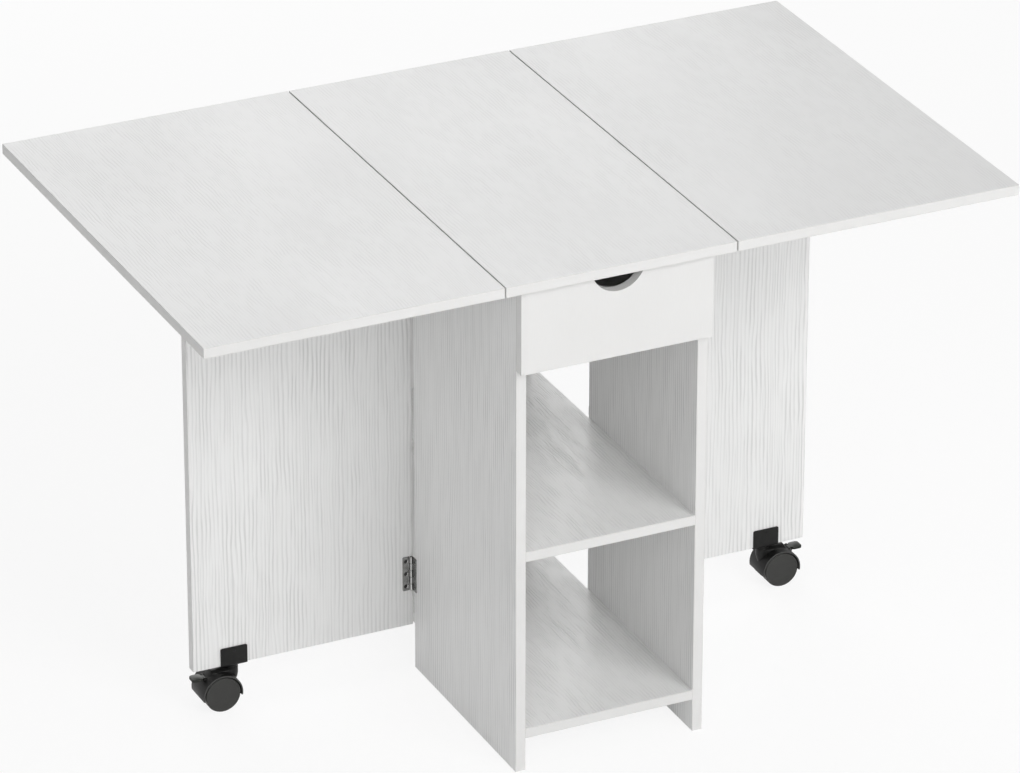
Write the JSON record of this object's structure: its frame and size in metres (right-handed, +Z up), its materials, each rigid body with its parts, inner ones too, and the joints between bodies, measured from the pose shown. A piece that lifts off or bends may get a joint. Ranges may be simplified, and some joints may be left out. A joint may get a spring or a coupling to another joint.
{
  "type": "drop leaf kitchen cart",
  "caption": "White drop leaf kitchen cart opened as a table, with open shelves, a drawer with a round finger cut and hinged gate legs on braked casters.",
  "frame": {"origin": "on the floor, under the middle of the opened top", "axes": "+X to the right along the opened top's length, +Y to the rear with the drawer facing -Y, +Z up"},
  "size_m": [1.2, 0.715, 0.75],
  "materials": {
    "white_board": "white wood-grain foil on particle board, satin",
    "hardboard": "thin fibre board, white face",
    "zinc_steel": "zinc-plated steel, satin",
    "zinc_alloy": "cast zinc alloy, dull",
    "beech_dowel": "fluted beech, bare",
    "nylon": "white nylon, satin",
    "rail_plastic": "white moulded plastic, matt",
    "buffer_plastic": "pale felt-faced plastic",
    "bracket_steel": "black powder coat",
    "caster_plastic": "black moulded nylon, satin",
    "wheel_plastic": "dark grey moulded nylon, satin",
    "pedal_plastic": "dark green-grey moulded plastic"
  },
  "bodies": {
    "cabinet": {"centre_top": "white_board", "left_side_panel": "white_board", "right_side_panel": "white_board", "middle_shelf": "white_board", "bottom_shelf": "white_board", "rear_panel": "white_board", "carcass_cams": "zinc_alloy", "carcass_cam_bolts": "zinc_steel", "carcass_dowels": "beech_dowel", "drawer_rails": "rail_plastic", "rail_screws": "zinc_steel", "panel_buffers": "buffer_plastic", "gate_hinge_fixed_leaves": "zinc_steel", "gate_hinge_pins": "zinc_steel", "gate_hinge_fixed_screws": "zinc_steel", "top_hinge_fixed_leaves": "zinc_steel", "top_hinge_pins": "zinc_steel", "top_hinge_fixed_screws": "zinc_steel"},
    "drawer": {"drawer_front": "white_board", "drawer_left_side": "white_board", "drawer_right_side": "white_board", "drawer_back": "white_board", "drawer_base": "hardboard", "drawer_back_screws": "zinc_steel", "drawer_cams": "zinc_alloy", "drawer_cam_bolts": "zinc_steel"},
    "left_leaf": {"left_leaf": "white_board", "left_leaf_hinge_leaves": "zinc_steel", "left_leaf_screws": "zinc_steel"},
    "left_gate": {"left_gate": "white_board", "left_gate_hinge_leaves": "zinc_steel", "left_gate_hinge_screws": "zinc_steel", "left_gate_glides": "nylon", "left_caster_bracket": "bracket_steel", "left_bracket_screws": "zinc_steel", "left_caster_stem": "zinc_steel"},
    "left_caster": {"left_caster_housing": "caster_plastic", "left_caster_pins": "zinc_steel"},
    "left_front_wheel": {"left_front_wheel": "wheel_plastic"},
    "left_rear_wheel": {"left_rear_wheel": "wheel_plastic"},
    "left_brake_pedal": {"left_brake_pedal": "pedal_plastic"},
    "right_leaf": {"right_leaf": "white_board", "right_leaf_hinge_leaves": "zinc_steel", "right_leaf_screws": "zinc_steel"},
    "right_gate": {"right_gate": "white_board", "right_gate_hinge_leaves": "zinc_steel", "right_gate_hinge_screws": "zinc_steel", "right_gate_glides": "nylon", "right_caster_bracket": "bracket_steel", "right_bracket_screws": "zinc_steel", "right_caster_stem": "zinc_steel"},
    "right_caster": {"right_caster_housing": "caster_plastic", "right_caster_pins": "zinc_steel"},
    "right_front_wheel": {"right_front_wheel": "wheel_plastic"},
    "right_rear_wheel": {"right_rear_wheel": "wheel_plastic"},
    "right_brake_pedal": {"right_brake_pedal": "pedal_plastic"}
  },
  "joints": [
    {"name": "drawer_slide", "type": "slide", "parent": "cabinet", "child": "drawer", "axis": [0, -1, 0], "range_m": [0, 0.23]},
    {"name": "left_leaf_hinge", "type": "hinge", "parent": "cabinet", "child": "left_leaf", "pos_m": [-0.171, 0, 0.7325], "axis": [0, 1, 0], "range_deg": [0, 5]},
    {"name": "left_gate_hinge", "type": "hinge", "parent": "cabinet", "child": "left_gate", "pos_m": [-0.145, 0.0058, 0.4], "axis": [0, 0, -1], "range_deg": [0, 90]},
    {"name": "left_caster_swivel", "type": "hinge", "parent": "left_gate", "child": "left_caster", "pos_m": [-0.4157, 0.0184, 0.05], "axis": [0, 0, 1], "continuous": true},
    {"name": "left_front_wheel_spin", "type": "hinge", "parent": "left_caster", "child": "left_front_wheel", "pos_m": [-0.4372, 0.0184, 0.026], "axis": [0, 1, 0], "continuous": true},
    {"name": "left_rear_wheel_spin", "type": "hinge", "parent": "left_caster", "child": "left_rear_wheel", "pos_m": [-0.4372, 0.0184, 0.026], "axis": [0, 1, 0], "continuous": true},
    {"name": "left_brake", "type": "hinge", "parent": "left_caster", "child": "left_brake_pedal", "pos_m": [-0.4582, 0.0184, 0.048], "axis": [0, -1, 0], "range_deg": [0, 12]},
    {"name": "right_leaf_hinge", "type": "hinge", "parent": "cabinet", "child": "right_leaf", "pos_m": [0.171, 0, 0.7325], "axis": [0, -1, 0], "range_deg": [0, 5]},
    {"name": "right_gate_hinge", "type": "hinge", "parent": "cabinet", "child": "right_gate", "pos_m": [0.145, 0.0058, 0.4], "axis": [0, 0, 1], "range_deg": [0, 90]},
    {"name": "right_caster_swivel", "type": "hinge", "parent": "right_gate", "child": "right_caster", "pos_m": [0.4157, 0.0184, 0.05], "axis": [0, 0, 1], "continuous": true},
    {"name": "right_front_wheel_spin", "type": "hinge", "parent": "right_caster", "child": "right_front_wheel", "pos_m": [0.4372, 0.0184, 0.026], "axis": [0, 1, 0], "continuous": true},
    {"name": "right_rear_wheel_spin", "type": "hinge", "parent": "right_caster", "child": "right_rear_wheel", "pos_m": [0.4372, 0.0184, 0.026], "axis": [0, 1, 0], "continuous": true},
    {"name": "right_brake", "type": "hinge", "parent": "right_caster", "child": "right_brake_pedal", "pos_m": [0.4582, 0.0184, 0.048], "axis": [0, 1, 0], "range_deg": [0, 12]}
  ]
}
